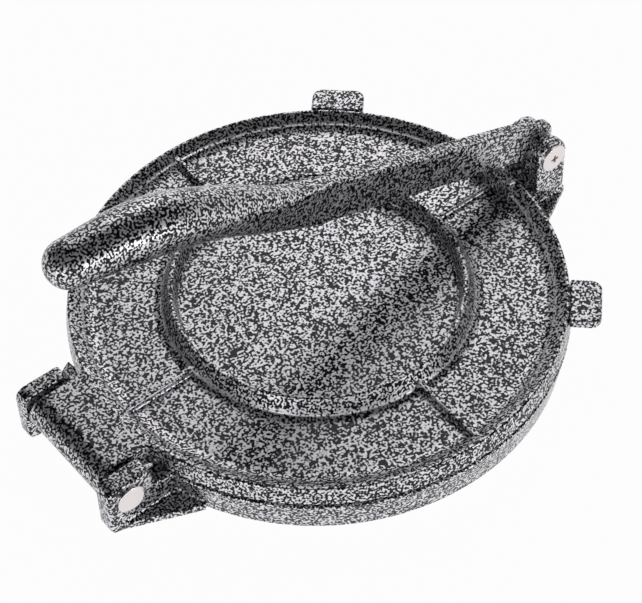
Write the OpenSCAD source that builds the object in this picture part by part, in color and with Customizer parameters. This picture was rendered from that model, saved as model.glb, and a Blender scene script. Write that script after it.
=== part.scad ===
// Hand press for tortillas: two round cast plates hinged together, and a cast lever
// that pivots in a clevis on the lower plate and bears on a pad on the upper plate.
// Frame: +X runs from the plate hinge to the lever's clevis, +Z is up, and the
// origin is the centre of the lower plate's flat underside.

/* [Plates] */
// Diameter of the pressing faces
plate_d = 160; // [120:1:260]
// Height of the lower plate
base_h = 12; // [9:0.5:20]
// How far the lower plate stands out past the pressing face
base_lip = 0.8; // [0:0.1:2]
// How far the lower plate's side draws in from top to bottom
base_draft = 1.6; // [0:0.1:3]
// Gap between the closed plates
plate_gap = 0.3; // [0.1:0.1:1]
// Thickness of the upper plate's floor
floor_t = 3.6; // [3:0.1:6]
// Height of the upper plate's rim above its floor
rim_h = 3.8; // [3:0.1:8]
// Width of the rim's crest
rim_w = 1.9; // [1.4:0.1:4]
// How far the rim's inner wall leans in towards its foot
rim_lean = 1.7; // [0:0.1:3]

/* [Ring and ribs] */
// Diameter of the stiffening ring along its crest
ring_d = 93.9; // [70:0.1:110]
// Height of the ring above the floor
ring_h = 6.1; // [3:0.1:9]
// Width of the ring's crest
ring_w = 1.5; // [1:0.1:3]
// How far each side of the ring leans out at its foot
ring_lean = 1.2; // [0:0.1:2]
// Width of the straight ribs
rib_w = 2; // [1.4:0.1:4]
// Height of the straight ribs above the floor
rib_h = 2.4; // [1:0.1:4]

/* [Lift tabs] */
// Width of the finger tabs on the rim
tab_w = 17.8; // [12:0.1:30]
// Thickness of the tabs
tab_t = 3.3; // [2.5:0.1:6]
// Reach of the tabs past the rim
tab_reach = 9.2; // [5:0.1:15]
// Corner radius of the tabs
tab_r = 3.5; // [1:0.1:5]
// Angle of the right-hand tab from the line between hinge and clevis
tab_right = 44.5; // [30:0.5:60]
// Angle of the left-hand tab from the line between hinge and clevis
tab_left = 46.5; // [30:0.5:60]

/* [Plate hinge] */
// Distance from the pressing face's edge to the hinge axis
hinge_out = 11.8; // [11.5:0.1:18]
// Height of the hinge axis above the lower plate's top
hinge_rise = 1.2; // [0.5:0.1:3]
// Radius of the hinge lugs
lug_r = 6.9; // [6.5:0.1:9]
// Thickness of each hinge lug
lug_t = 6.6; // [4:0.1:10]
// Clear width between the hinge lugs
lug_span = 36.4; // [24:0.1:50]
// Radius of the lugs' rounded heel
heel_r = 4.5; // [2:0.1:6.5]
// Radius of the upper plate's hinge barrel
barrel_r = 6.1; // [5:0.1:7.5]
// Clearance at each end of the barrel
barrel_play = 0.3; // [0.1:0.05:0.8]
// Height of the low foot flanges around hinge and clevis
flange_h = 3; // [2:0.1:5]
// How far the hinge flange spreads past the lugs at the plate
hinge_flange = 9.4; // [4:0.1:14]

/* [Clevis] */
// Distance from the pressing face's edge to the lever's pivot
pivot_out = 13.8; // [12:0.1:20]
// Height of the lever's pivot above the lower plate's top
pivot_rise = 10.3; // [8:0.1:14]
// Thickness of each clevis ear
ear_t = 4; // [3:0.1:6]
// Clear width between the ears
slot_w = 8; // [7:0.1:12]
// Radius of the ears
ear_r = 6.3; // [5.8:0.1:8]
// Height of the slot's floor above the underside
slot_floor = 8; // [5:0.1:9]
// How far the clevis flange spreads past the ears at the plate
clevis_flange = 12.6; // [4:0.1:16]

/* [Lever] */
// Rise angle of the lever's top edge
bar_angle = 19.9; // [15:0.1:24]
// How much flatter the bottom edge runs than the top edge
bar_taper = 1.35; // [0:0.05:2]
// Height of the top edge above the pivot, measured at the pivot
bar_top = 10.27; // [9:0.01:13]
// Depth of the bar, measured straight down at the pivot
bar_depth = 14.1; // [12.5:0.1:17]
// Thickness of the bar
bar_t = 5; // [4:0.1:6.5]
// Thickness of the bar's end between the ears
tongue_t = 3.6; // [3:0.1:4]
// Length of the thinner end, from the pivot
tongue_l = 6.8; // [6.5:0.1:10]
// Radius of the hub around the pivot
hub_r = 5.6; // [5:0.1:6.5]
// Clearance at each end of the hub
hub_play = 0.3; // [0.1:0.05:0.8]
// Length of the straight bar, from the pivot to where the grip begins
bar_l = 92; // [70:1:130]
// Length of the grip, from the bar to the centre of its round nose
grip_l = 88; // [70:1:120]
// Rise of the grip, from the bar to the centre of its nose
grip_rise = 35; // [20:0.5:45]
// Diameter of the grip where it is fullest
grip_d = 18.1; // [14:0.1:24]
// Diameter of the grip's round nose
nose_d = 14.8; // [10:0.1:20]

/* [Pad] */
// Distance from the pad's middle to the pressing face's edge
pad_in = 5.7; // [5.2:0.1:9]
// Width of the pad along the hinge direction
pad_w = 19.4; // [12:0.1:30]
// Thickness of the pad at its crest
pad_t = 2.9; // [2:0.1:5]
// How far each side of the pad leans out at its foot
pad_lean = 0.8; // [0:0.1:1.5]
// Gap left between the pad and the resting lever
pad_gap = 0.1; // [0.05:0.05:0.3]

/* [Pins] */
// Diameter of the pins' posts
pin_d = 6; // [5:0.1:7]
// Diameter of the screws in the posts
screw_d = 3.5; // [2.5:0.1:4]
// Diameter of the pins' heads
head_d = 10; // [8.5:0.1:11]
// Thickness of the pins' heads
head_t = 1.3; // [1:0.1:2.5]
// Radial running clearance of the pins
pin_play = 0.05; // [0.02:0.01:0.09]
// Length of thread that a screw has in its post
screw_grip = 7; // [4:0.5:12]
// Width of the screws' cross recess
recess_w = 0.9; // [0.6:0.1:1.4]

/* [Hidden] */
$fn = 96;
plate_r = plate_d / 2;
base_r = plate_r + base_lip;
plate_z = base_h + plate_gap;
floor_z = plate_z + floor_t;
rim_z = floor_z + rim_h;
rim_in = base_r - rim_w;
ring_r = ring_d / 2;
ring_foot = ring_w / 2 + ring_lean;
edge_r = 0.9;
foot_r = 1.2;
hinge_x = -(plate_r + hinge_out);
hinge_z = base_h + hinge_rise;
lug_in = lug_span / 2;
lug_out = lug_in + lug_t;
lug_shoulder = 2.8;
pivot_x = plate_r + pivot_out;
pivot_z = base_h + pivot_rise;
ear_in = slot_w / 2;
ear_out = ear_in + ear_t;
hub_w = slot_w - 2 * hub_play;
bore_r = pin_d / 2 + pin_play;
weld = 2;
tab_z = rim_z - tab_t;
bar_slope = tan(bar_angle);
under_slope = tan(bar_angle - bar_taper);
grip_x = pivot_x - bar_l;
pad_x = plate_r - pad_in;
pad_z = bar_under(pad_x + pad_t / 2) - pad_gap;
grip_lead = 9;
grip_sink = 0.4;
grip_steps = 30;
grip_sides = 28;
nose_steps = 6;
nose_cap = 6;

// Stations of the grip: distance along X past the end of the bar, rise above the bar's
// middle there, half height and half width of the section, and how round it is, from
// 0 for square to 1 for oval. The first one lies inside the bar.
grip_stations = [
    [-grip_lead, -grip_lead * bar_slope, bar_half(grip_x) - grip_sink, bar_t / 2 - grip_sink, 0.2],
    [0, 0, bar_half(grip_x) + grip_sink / 2, bar_t / 2 + grip_sink, 0.25],
    [0.2 * grip_l, 0.24 * grip_rise, 0.8 * grip_d / 2, 0.5 * grip_d / 2, 0.7],
    [0.44 * grip_l, 0.615 * grip_rise, 0.9 * grip_d / 2, 0.84 * grip_d / 2, 1],
    [0.71 * grip_l, 0.895 * grip_rise, grip_d / 2, grip_d / 2, 1],
    [grip_l, grip_rise, nose_d / 2, nose_d / 2, 1],
];

// Height of the bar's top edge and bottom edge at a place along X.
function bar_over(x) = pivot_z + bar_top + (pivot_x - x) * bar_slope;
function bar_under(x) = pivot_z + bar_top - bar_depth + (pivot_x - x) * under_slope;
function bar_mid(x) = (bar_over(x) + bar_under(x)) / 2;
function bar_half(x) = (bar_over(x) - bar_under(x)) / 2 * cos(bar_angle);

// Point where a line from p touches a circle, on the side that turn gives (1 or -1).
function touch_point(p, centre, r, turn) =
    let (d = p - centre, a = atan2(d[1], d[0]) + turn * acos(r / norm(d)))
    centre + r * [cos(a), sin(a)];

// Arc of points around a centre.
function arc(centre, r, from, to, steps = 6) =
    [for (i = [0:steps]) let (a = from + (to - from) * i / steps) centre + r * [cos(a), sin(a)]];

// Smooth curve through a list of stations, at u from 0 to the number of spans.
function station(s, i) = s[max(0, min(len(s) - 1, i))];
function through(s, u) =
    let (
        i = min(len(s) - 2, floor(u)), t = u - i,
        a = station(s, i - 1), b = station(s, i), c = station(s, i + 1), d = station(s, i + 2)
    )
    b + t * (c - a) / 2 + t * t * (2 * a - 5 * b + 4 * c - d) / 2
        + t * t * t * (3 * b - 3 * c + d - a) / 2;

// Centre of the grip at a station, in the XZ plane.
function grip_centre(s) = [grip_x - s[0], bar_mid(grip_x) + s[1]];

// Share of a half size that a section reaches, from the sine or cosine of the angle.
function swell(v, round) = sign(v) * pow(abs(v), round);

// One ring of the grip: an upright section, square to the grip's own direction.
function grip_ring(u, spans) =
    let (
        s = through(grip_stations, u),
        c = grip_centre(s),
        ahead = grip_centre(through(grip_stations, min(spans, u + 0.02))),
        behind = grip_centre(through(grip_stations, max(0, u - 0.02))),
        t = (ahead - behind) / norm(ahead - behind)
    )
    [for (k = [0:grip_sides - 1])
        let (
            a = 360 * k / grip_sides,
            h = s[2] * swell(cos(a), s[4]), w = s[3] * swell(sin(a), s[4])
        )
        [c[0] + h * t[1], w, c[1] - h * t[0]]];

// Cylinder along Y between two faces.
module rod_y(x, z, r, from, to) {
    translate([x, from, z]) rotate([-90, 0, 0]) cylinder(r = r, h = to - from);
}

// Side outline in the XZ plane, given its thickness between two faces along Y.
module side_slab(points, from, to) {
    translate([0, to, 0]) rotate([90, 0, 0]) linear_extrude(to - from) polygon(points);
}

// Both halves of something that stands on either side of the middle plane.
module both_sides() {
    children();
    mirror([0, 1, 0]) children();
}

// Low flange at the foot, spreading from an end towards the plate, outside an inner line.
module foot_flange(end_x, end_half, plate_x, plate_half, inner = 0) {
    linear_extrude(flange_h)
        polygon([
            [end_x, inner], [end_x, end_half],
            [plate_x, plate_half], [plate_x, inner],
        ]);
}

// Round body of the lower plate with its drafted side.
module base_disc() {
    rotate_extrude()
        polygon(concat(
            [[0, 0], [base_r - base_draft - edge_r, 0]],
            arc([base_r - base_draft - edge_r, edge_r], edge_r, -90, 0),
            arc([base_r - edge_r, base_h - edge_r], edge_r, 0, 90),
            [[0, base_h]]
        ));
}

// One hinge lug: a round eye and a rounded heel on a block that runs back into the
// lower plate. Nothing joins the two lugs under the barrel.
module hinge_lug() {
    eye = [hinge_x, hinge_z];
    heel = [hinge_x - lug_r + heel_r, heel_r];
    shoulder = [hinge_x + lug_r + lug_shoulder, base_h];
    side_slab(
        [
            [heel[0], 0], [-plate_r + weld, 0], [-plate_r + weld, base_h], shoulder,
            touch_point(shoulder, eye, lug_r, 1), eye,
            [hinge_x - lug_r, hinge_z], [hinge_x - lug_r, heel_r], heel,
        ],
        lug_in, lug_out
    );
    rod_y(hinge_x, hinge_z, lug_r, lug_in, lug_out);
    rod_y(heel[0], heel[1], heel_r, lug_in, lug_out);
    foot_flange(
        hinge_x - lug_r + 0.8, lug_out - 1.3,
        -plate_r + 7.7, lug_out + hinge_flange, lug_in + lug_t / 2
    );
}

// One clevis ear, upright, with a round top.
module clevis_ear() {
    side_slab(
        [
            [pivot_x - ear_r, 0], [pivot_x + ear_r, 0],
            [pivot_x + ear_r, pivot_z], [pivot_x - ear_r, pivot_z],
        ],
        ear_in, ear_out
    );
    rod_y(pivot_x, pivot_z, ear_r, ear_in, ear_out);
}

// Lower plate with the hinge lugs at one end and the lever's clevis at the other.
module base() {
    neck_x = plate_r - weld - 4;
    color("#8e8c90") difference() {
        union() {
            base_disc();
            both_sides() hinge_lug();
            both_sides() clevis_ear();
            translate([neck_x, -ear_out, 0])
                cube([pivot_x + ear_r - neck_x, 2 * ear_out, slot_floor]);
            both_sides()
                foot_flange(
                    pivot_x + ear_r + 1.4, ear_out - 0.5, plate_r - 3, ear_out + clevis_flange
                );
        }
        rod_y(hinge_x, hinge_z, bore_r, -lug_out - 1, lug_out + 1);
        rod_y(pivot_x, pivot_z, bore_r, -ear_out - 1, ear_out + 1);
    }
}

// Floor, rim and stiffening ring of the upper plate, turned in one outline.
module plate_dish() {
    wall_foot = rim_in - rim_lean;
    rotate_extrude()
        polygon(concat(
            [[0, plate_z], [plate_r, plate_z]],
            arc([base_r - edge_r, rim_z - edge_r], edge_r, 0, 90),
            arc([rim_in + edge_r / 2, rim_z - edge_r / 2], edge_r / 2, 90, 180),
            arc([wall_foot - foot_r, floor_z + foot_r], foot_r, 0, -90),
            arc([ring_r + ring_foot + foot_r, floor_z + foot_r], foot_r, -90, -180),
            arc([ring_r + ring_w / 2 - edge_r / 2, floor_z + ring_h - edge_r / 2], edge_r / 2, 0, 90),
            arc([ring_r - ring_w / 2 + edge_r / 2, floor_z + ring_h - edge_r / 2], edge_r / 2, 90, 180),
            arc([ring_r - ring_foot - foot_r, floor_z + foot_r], foot_r, 0, -90),
            [[0, floor_z]]
        ));
}

// Four straight ribs from the ring out to the rim.
module plate_ribs() {
    for (a = [0:90:270])
        rotate([0, 0, a])
            translate([ring_r, -rib_w / 2, floor_z - weld / 2])
                cube([rim_in - ring_r, rib_w, rib_h + weld / 2]);
}

// Flat finger tab with rounded corners, flush with the top of the rim.
module lift_tab() {
    tip = base_r + tab_reach;
    root = base_r - rim_w / 2;
    translate([0, 0, tab_z])
        linear_extrude(tab_t)
            union() {
                translate([root, -tab_w / 2]) square([tip - tab_r - root, tab_w]);
                translate([root, -tab_w / 2 + tab_r]) square([tip - root, tab_w - 2 * tab_r]);
                for (side = [-1, 1])
                    translate([tip - tab_r, side * (tab_w / 2 - tab_r)]) circle(r = tab_r);
            }
}

// Upright pad inside the rim that the lever bears on.
module bearing_pad() {
    foot = pad_t / 2 + pad_lean;
    side_slab(
        [
            [pad_x - foot, floor_z - weld / 2], [pad_x + foot, floor_z - weld / 2],
            [pad_x + pad_t / 2, pad_z], [pad_x - pad_t / 2, pad_z],
        ],
        -pad_w / 2, pad_w / 2
    );
    translate([pad_x, -pad_w / 2, floor_z - weld / 2])
        cube([rim_in - 1 - pad_x, pad_w, rim_h - 1 + weld / 2]);
}

// Upper plate: dish, ribs, tabs, pad, and the tongue that carries the hinge barrel.
module top_plate() {
    half = lug_in - barrel_play;
    color("#9a989c") difference() {
        union() {
            plate_dish();
            plate_ribs();
            for (angle = [-tab_right, tab_left]) rotate([0, 0, angle]) lift_tab();
            bearing_pad();
            rod_y(hinge_x, hinge_z, barrel_r, -half, half);
            side_slab(
                [
                    [hinge_x, plate_z], [rim_in * cos(asin(half / rim_in)) * -1, plate_z],
                    [rim_in * cos(asin(half / rim_in)) * -1, hinge_z + barrel_r],
                    [hinge_x, hinge_z + barrel_r],
                ],
                -half, half
            );
        }
        rod_y(hinge_x, hinge_z, bore_r, -half - 1, half + 1);
    }
}

// One ring of the round nose, at an angle up from the grip's last section.
function nose_ring(angle, end, centre, ahead) =
    [for (p = end) centre + (p - centre) * cos(angle) + ahead * nose_d / 2 * sin(angle)];

// Grip and its round nose, lofted along the stations.
module grip() {
    spans = len(grip_stations) - 1;
    body = [for (i = [0:grip_steps]) grip_ring(spans * i / grip_steps, spans)];
    end = body[grip_steps];
    c = grip_centre(grip_stations[spans]);
    centre = [c[0], 0, c[1]];
    ahead = cross(end[0] - centre, end[grip_sides / 4] - centre) / pow(nose_d / 2, 2);
    nose = [for (i = [1:nose_steps])
        nose_ring((90 - nose_cap) * i / nose_steps, end, centre, ahead)];
    rings = concat(body, nose);
    last = (len(rings) - 1) * grip_sides;
    polyhedron(
        points = [for (r = rings) for (p = r) p],
        faces = concat(
            [[for (k = [0:grip_sides - 1]) k]],
            [for (i = [0:len(rings) - 2]) for (k = [0:grip_sides - 1])
                let (n = (k + 1) % grip_sides, a = i * grip_sides, b = a + grip_sides)
                [a + k, b + k, b + n, a + n]],
            [[for (k = [grip_sides - 1:-1:0]) last + k]]
        ),
        convexity = 4
    );
}

// Lever: flat bar, thinner round end with a hub in the clevis, and a full grip.
module handle() {
    shoulder_x = pivot_x - tongue_l;
    end_x = pivot_x - 0.6;
    end_r = (bar_over(end_x) - bar_under(end_x)) / 2 * cos(bar_angle);
    bar_end = grip_x - 1;
    color("#7c7a7f") difference() {
        union() {
            side_slab(
                [
                    [shoulder_x, bar_under(shoulder_x)], [shoulder_x, bar_over(shoulder_x)],
                    [bar_end, bar_over(bar_end)], [bar_end, bar_under(bar_end)],
                ],
                -bar_t / 2, bar_t / 2
            );
            side_slab(
                [
                    [shoulder_x - weld, bar_under(shoulder_x - weld)], [end_x, bar_mid(end_x) - end_r],
                    [end_x, bar_mid(end_x) + end_r], [shoulder_x - weld, bar_over(shoulder_x - weld)],
                ],
                -tongue_t / 2, tongue_t / 2
            );
            rod_y(end_x, bar_mid(end_x), end_r, -tongue_t / 2, tongue_t / 2);
            rod_y(pivot_x, pivot_z, hub_r, -hub_w / 2, hub_w / 2);
            grip();
        }
        rod_y(pivot_x, pivot_z, bore_r, -hub_w / 2 - 1, hub_w / 2 + 1);
    }
}

// Post with a flat round head on the side that side gives (1 or -1), bored for its screw.
module post(x, z, out, side) {
    bore = screw_grip + 1;
    mirror([0, side < 0 ? 0 : 1, 0]) difference() {
        union() {
            rod_y(x, z, head_d / 2, -out - head_t, -out);
            rod_y(x, z, pin_d / 2, -out - head_t / 2, out - 0.5);
        }
        rod_y(x, z, screw_d / 2 + pin_play, out - 0.5 - bore, out);
    }
}

// Screw with a cross recess in its flat round head, for the post's far end.
module post_screw(x, z, out, side) {
    slot_l = head_d * 0.45;
    mirror([0, side < 0 ? 1 : 0, 0]) difference() {
        union() {
            rod_y(x, z, head_d / 2, out, out + head_t);
            rod_y(x, z, screw_d / 2, out - 0.5 - screw_grip, out + head_t / 2);
        }
        translate([x, out + head_t, z])
            for (a = [0, 90])
                rotate([0, a, 0]) cube([slot_l, head_t, recess_w], center = true);
    }
}

module hinge_pin() {
    color("#d9d2d2") post(hinge_x, hinge_z, lug_out, -1);
}

module hinge_pin_screw() {
    color("#d9d2d2") post_screw(hinge_x, hinge_z, lug_out, 1);
}

module handle_pin() {
    color("#d9d2d2") post(pivot_x, pivot_z, ear_out, 1);
}

module handle_pin_screw() {
    color("#d9d2d2") post_screw(pivot_x, pivot_z, ear_out, -1);
}

base();
top_plate();
handle();
hinge_pin();
hinge_pin_screw();
handle_pin();
handle_pin_screw();
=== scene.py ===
"""Looks of a small cast hand press: hammertone castings, plated pins, camera and light.

Every length of the press is in millimetres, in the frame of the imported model: +X from
the plate hinge to the lever's clevis, +Z up, origin under the middle of the lower plate.
Meshes are built in millimetres and turned to metres as they become objects. The studio's
places and sizes are in metres.
"""

import logging
from collections.abc import Callable, Iterable, Sequence
from dataclasses import dataclass, field
from enum import Enum
from math import acos, atan2, cos, degrees, pi, radians, sin, tan

import bmesh
import bpy
from mathutils import Matrix, Vector


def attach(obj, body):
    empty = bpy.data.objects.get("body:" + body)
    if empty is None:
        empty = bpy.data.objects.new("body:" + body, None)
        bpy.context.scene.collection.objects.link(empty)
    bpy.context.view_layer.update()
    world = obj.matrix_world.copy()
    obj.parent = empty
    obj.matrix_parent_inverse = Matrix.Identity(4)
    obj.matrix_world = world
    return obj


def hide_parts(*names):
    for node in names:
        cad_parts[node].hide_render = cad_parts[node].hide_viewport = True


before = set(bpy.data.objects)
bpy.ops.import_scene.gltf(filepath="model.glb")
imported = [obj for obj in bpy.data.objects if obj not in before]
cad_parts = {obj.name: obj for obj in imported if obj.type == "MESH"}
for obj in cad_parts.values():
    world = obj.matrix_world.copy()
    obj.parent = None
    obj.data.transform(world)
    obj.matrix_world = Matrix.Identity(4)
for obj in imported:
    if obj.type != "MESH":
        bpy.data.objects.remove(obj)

MM = 0.001
TURNED_STEPS = 256
LOG = logging.getLogger("press")
Point = tuple[float, float]
Turns = tuple[tuple[float, float, float], ...]


class Body(Enum):
    """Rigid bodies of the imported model."""

    LOWER = "lower_plate"
    UPPER = "upper_plate"
    LEVER = "lever"


class Head(Enum):
    """Kinds of pin head."""

    PLAIN = "plain"
    CROSS = "cross"


# ---------------------------------------------------------------- colours and nodes


def linear(hex_colour: str) -> tuple[float, float, float, float]:
    """Turns an sRGB hex colour into the linear colour that shaders take.

    Args:
        hex_colour: Colour such as "#8e8c90".

    Returns:
        Linear red, green, blue and an alpha of 1.
    """
    parts = [int(hex_colour[i : i + 2], 16) / 255 for i in (1, 3, 5)]
    low = [c / 12.92 if c <= 0.04045 else ((c + 0.055) / 1.055) ** 2.4 for c in parts]
    return (low[0], low[1], low[2], 1.0)


def add_node(
    tree: bpy.types.NodeTree, kind: str, settings: dict | None = None, **inputs: object
) -> bpy.types.Node:
    """Adds a node, sets its properties and fills or links its inputs.

    Args:
        tree: Node tree that gets the node.
        kind: Type name of the node.
        settings: Properties of the node, by name.
        **inputs: Sockets by name, with underscores for spaces: a value, or the output
            socket to link from. A name such as i0 stands for the socket's number.

    Returns:
        The new node.
    """
    node = tree.nodes.new(kind)
    for name, value in (settings or {}).items():
        setattr(node, name, value)
    for name, value in inputs.items():
        key = int(name[1:]) if name[0] == "i" and name[1:].isdigit() else name.replace("_", " ")
        if isinstance(value, bpy.types.NodeSocket):
            tree.links.new(value, node.inputs[key])
        else:
            node.inputs[key].default_value = value
    return node


def reckon(
    tree: bpy.types.NodeTree, operation: str, *values: object, vector: bool = False
) -> bpy.types.NodeSocket:
    """Adds a math node.

    Args:
        tree: Node tree that gets the node.
        operation: What the node works out.
        *values: Its inputs in order, each a value or the output socket to link from.
        vector: Whether it works on vectors.

    Returns:
        The result's socket.
    """
    kind = "ShaderNodeVectorMath" if vector else "ShaderNodeMath"
    inputs = {f"i{k}": value for k, value in enumerate(values)}
    node = add_node(tree, kind, {"operation": operation}, **inputs)
    whole = vector and operation not in ("LENGTH", "DOT_PRODUCT")
    return node.outputs["Vector" if whole else "Value"]


def new_material(name: str) -> tuple[bpy.types.Material, bpy.types.NodeTree]:
    """Makes an empty node material.

    Args:
        name: Name of the finish.

    Returns:
        The material and its cleared node tree.
    """
    material = bpy.data.materials.new(name)
    material.use_nodes = True
    material.node_tree.nodes.clear()
    return material, material.node_tree


def set_ramp(node: bpy.types.Node, stops: Sequence[tuple[float, str]]) -> None:
    """Gives a colour ramp its stops.

    Args:
        node: The colour ramp node.
        stops: Positions from 0 to 1 with their sRGB colours.
    """
    ramp = node.color_ramp
    while len(ramp.elements) > 1:
        ramp.elements.remove(ramp.elements[-1])
    ramp.elements[0].position = stops[0][0]
    ramp.elements[0].color = linear(stops[0][1])
    for place, colour in stops[1:]:
        ramp.elements.new(place).color = linear(colour)


@dataclass(frozen=True)
class Hammertone:
    """Glossy two-tone hammertone enamel, sprayed on a casting and stoved.

    Silver flakes gather into short veins on a near-black ground, under a clear, glossy
    skin, which gives the eye a lively black and silver speckle with soft reflections.
    """

    name: str = "hammertone_enamel"
    ground: str = "#0e0d0f"
    shade: str = "#232126"
    silver: str = "#c9c7cc"
    bright: str = "#eceaef"
    vein_mm: float = 0.74
    drift_mm: float = 2.2
    drift: float = 0.3
    level: float = 0.51
    soft: float = 0.055
    flake: float = 0.88
    relief_mm: float = 0.03
    rough: Point = (0.2, 0.4)
    gleam: float = 0.18
    bump: float = 0.3
    skin: float = 0.15
    skin_rough: float = 0.08
    # Painted highlights: bands of extra silver at fixed radii and along the X ribs, standing for light
    # caught in the creases.
    painted_highlight_rings: tuple[float, ...] = ()
    painted_highlight_rib: float = 0.0
    painted_highlight_w: float = 0.45
    painted_highlight_gain: float = 0.12

    def with_painted_highlights(self, tree: bpy.types.NodeTree, veins: bpy.types.NodeSocket) -> bpy.types.NodeSocket:
        """Paints highlights into the creases: more silver in bands at fixed radii and along the ribs on the
        X axis, so that these read bright under any light.

        Args:
            tree: Node tree of the enamel.
            veins: Height of the veins.

        Returns:
            The raised height's socket.
        """
        place = add_node(tree, "ShaderNodeTexCoord").outputs["Object"]
        level = reckon(tree, "MULTIPLY", place, (1.0, 1.0, 0.0), vector=True)
        radius = reckon(tree, "LENGTH", level, vector=True)
        y = add_node(tree, "ShaderNodeSeparateXYZ", Vector=place).outputs["Y"]
        side = reckon(tree, "ABSOLUTE", y)

        def band(value: bpy.types.NodeSocket, centre: float, half: float) -> bpy.types.NodeSocket:
            """Socket that is 1 within half of centre, both in millimetres."""
            return reckon(tree, "COMPARE", value, centre * MM, half * MM)

        inner, outer = min(self.painted_highlight_rings), max(self.painted_highlight_rings)
        painted_highlight_mask = reckon(
            tree, "MULTIPLY", band(side, self.painted_highlight_rib, self.painted_highlight_w * 0.6),
            band(radius, (inner + outer) / 2, (outer - inner) / 2),
        )
        for ring in self.painted_highlight_rings:
            painted_highlight_mask = reckon(tree, "MAXIMUM", painted_highlight_mask, band(radius, ring, self.painted_highlight_w))
        return reckon(tree, "MULTIPLY_ADD", painted_highlight_mask, self.painted_highlight_gain, veins)

    def material(self) -> bpy.types.Material:
        """Builds the enamel's material.

        Returns:
            The material.
        """
        material, tree = new_material(self.name)
        place = add_node(tree, "ShaderNodeTexCoord").outputs["Object"]
        # A slow drift bends the veins, so that they don't follow the noise's own grid.
        drift = add_node(
            tree, "ShaderNodeTexNoise", Vector=place, Scale=1 / (self.drift_mm * MM), Detail=1.0
        ).outputs["Color"]
        centred = reckon(tree, "SUBTRACT", drift, (0.5, 0.5, 0.5), vector=True)
        reach = [self.drift * self.drift_mm * MM] * 3
        bent = reckon(tree, "MULTIPLY_ADD", centred, reach, place, vector=True)
        veins = add_node(
            tree, "ShaderNodeTexNoise", Vector=bent, Scale=1 / (self.vein_mm * MM),
            Detail=0.0,
        ).outputs["Fac"]
        # Painted highlights: on the upper plate, more silver in the creases stands for the light that they
        # catch.
        if self.painted_highlight_rings:
            veins = self.with_painted_highlights(tree, veins)
        tone = add_node(tree, "ShaderNodeValToRGB", Fac=veins)
        set_ramp(
            tone,
            [
                (self.level - 2.2 * self.soft, self.ground),
                (self.level - self.soft * 0.5, self.shade),
                (self.level + self.soft * 0.5, self.silver),
                (self.level + 2.4 * self.soft, self.bright),
            ],
        )
        edge = {"From_Min": self.level - self.soft, "From_Max": self.level + self.soft}
        rough = add_node(
            tree, "ShaderNodeMapRange", Value=veins, To_Min=self.rough[0],
            To_Max=self.rough[1], **edge,
        ).outputs["Result"]
        metal = add_node(
            tree, "ShaderNodeMapRange", Value=veins, To_Min=0.0, To_Max=self.flake, **edge
        ).outputs["Result"]
        bump = add_node(
            tree, "ShaderNodeBump", Height=veins, Strength=self.bump,
            Distance=self.relief_mm * MM,
        ).outputs["Normal"]
        shader = add_node(
            tree, "ShaderNodeBsdfPrincipled", Base_Color=tone.outputs["Color"],
            Roughness=rough, Metallic=metal, Normal=bump, Specular_IOR_Level=self.gleam,
            Coat_Weight=self.skin, Coat_Roughness=self.skin_rough, Coat_IOR=1.5,
        )
        add_node(tree, "ShaderNodeOutputMaterial", Surface=shader.outputs["BSDF"])
        return material


@dataclass(frozen=True)
class PlatedSteel:
    """Nickel-plated steel, turned and tumbled, which shines pale and a little warm."""

    name: str = "nickel_plated_steel"
    colour: str = "#e6dfdf"
    grain_mm: float = 0.35
    rough: Point = (0.2, 0.36)
    relief_mm: float = 0.02

    def material(self) -> bpy.types.Material:
        """Builds the plating's material.

        Returns:
            The material.
        """
        material, tree = new_material(self.name)
        place = add_node(tree, "ShaderNodeTexCoord").outputs["Object"]
        grain = add_node(
            tree, "ShaderNodeTexNoise", Vector=place, Scale=1 / (self.grain_mm * MM), Detail=3.0
        ).outputs["Fac"]
        rough = add_node(
            tree, "ShaderNodeMapRange", Value=grain, To_Min=self.rough[0], To_Max=self.rough[1]
        ).outputs["Result"]
        bump = add_node(
            tree, "ShaderNodeBump", Height=grain, Strength=0.08, Distance=self.relief_mm * MM
        ).outputs["Normal"]
        shader = add_node(
            tree, "ShaderNodeBsdfPrincipled", Base_Color=linear(self.colour), Metallic=1.0,
            Roughness=rough, Normal=bump,
        )
        add_node(tree, "ShaderNodeOutputMaterial", Surface=shader.outputs["BSDF"])
        return material


# ---------------------------------------------------------------- mesh tools


def arc(centre: Point, radius: float, start: float, end: float, steps: int = 8) -> list[Point]:
    """Points of an arc.

    Args:
        centre: Centre of the arc.
        radius: Its radius.
        start: First angle in degrees.
        end: Last angle in degrees.
        steps: Number of steps between them.

    Returns:
        The points, both ends included.
    """
    angles = [radians(start + (end - start) * i / steps) for i in range(steps + 1)]
    return [(centre[0] + radius * cos(a), centre[1] + radius * sin(a)) for a in angles]


def bends(start: Point, heading: int, turns: Turns) -> list[Point]:
    """Chains arcs that leave level ground, each tangent to the one before it.

    Args:
        start: Where the chain leaves the level.
        heading: 1 to run outward, -1 to run inward.
        turns: Radius, first slope and last slope in degrees of each arc; a negative
            radius bends back toward the level.

    Returns:
        The points of the chain, the start included.
    """
    r, z = start
    out = [start]
    for radius, first, last in turns:
        slopes = [radians(first + (last - first) * i / 8) for i in range(9)]
        for a, b in zip(slopes, slopes[1:]):
            r += heading * radius * (sin(b) - sin(a))
            z += radius * (cos(a) - cos(b))
            out.append((r, z))
    return out


def touch_angle(point: Point, centre: Point, radius: float, turn: int) -> float:
    """Angle on a circle where a line from a point touches it.

    Args:
        point: Where the line starts.
        centre: Centre of the circle.
        radius: Its radius.
        turn: 1 or -1 for the side on which the line touches.

    Returns:
        The angle in degrees.
    """
    away = Vector(point) - Vector(centre)
    return degrees(atan2(away.y, away.x) + turn * acos(radius / away.length))


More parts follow.
